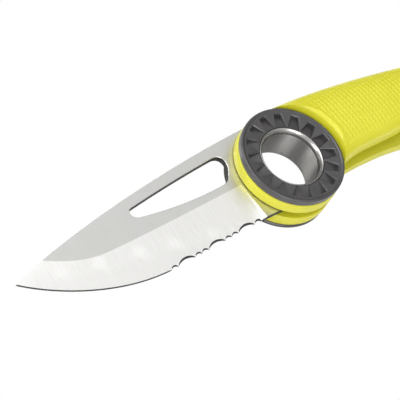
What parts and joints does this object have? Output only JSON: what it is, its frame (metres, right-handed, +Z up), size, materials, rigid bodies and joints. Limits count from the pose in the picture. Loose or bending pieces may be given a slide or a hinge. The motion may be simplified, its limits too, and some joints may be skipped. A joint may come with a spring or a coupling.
{
  "type": "rope knife",
  "caption": "Folding rope knife: a part-serrated blade with an oblong cut-out turns on a hollow steel pivot that a carabiner passes through, between two nylon handle shells, shown open.",
  "frame": {"origin": "middle of the open knife's bounding box, on the surface that the knife lies on", "axes": "+Z up along the pivot, -X towards the blade's tip, +X towards the handle's tail, -Y towards the cutting edge"},
  "size_m": [0.1684, 0.0266, 0.0126],
  "materials": {
    "handle_nylon": "moulded nylon, satin, with a fine raised diamond grain on its broad faces",
    "wheel_nylon": "dark grey moulded nylon, satin",
    "blade_steel": "satin flats with a brighter finely ground bevel",
    "pivot_steel": "polished flared lips and a brushed bore",
    "spring_steel": "tumbled spring steel",
    "fastener_steel": "plain stainless steel",
    "washer_bronze": "phosphor bronze",
    "insert_brass": "turned brass"
  },
  "bodies": {
    "handle": {"near_handle_shell": "handle_nylon", "far_handle_shell": "handle_nylon", "lock_plate": "spring_steel", "near_washer": "washer_bronze", "far_washer": "washer_bronze", "open_stop_pin": "fastener_steel", "closed_stop_pin": "fastener_steel", "handle_screw_1": "fastener_steel", "handle_screw_2": "fastener_steel", "handle_screw_3": "fastener_steel", "handle_screw_4": "fastener_steel", "threaded_insert_1": "insert_brass", "threaded_insert_2": "insert_brass", "threaded_insert_3": "insert_brass", "threaded_insert_4": "insert_brass"},
    "blade": {"blade": "blade_steel", "near_wheel": "wheel_nylon", "far_wheel": "wheel_nylon", "pivot_tube": "pivot_steel"},
    "lock": {"lock_leaf": "spring_steel"}
  },
  "joints": [
    {"name": "blade_pivot", "type": "hinge", "parent": "handle", "child": "blade", "pos_m": [-0.00732, -0.00012, 0.0056], "axis": [0, 0, 1], "range_deg": [0, 175], "deforming": ["lock_leaf"]},
    {"name": "lock_leaf_flex", "type": "hinge", "parent": "handle", "child": "lock", "pos_m": [0.05308, -0.0022, 0.00385], "axis": [0, -1, 0], "range_deg": [0, 2.15]}
  ],
  "couplings": [
    {"joint": "lock_leaf_flex", "follows": "blade_pivot", "ratio": 0.012}
  ]
}
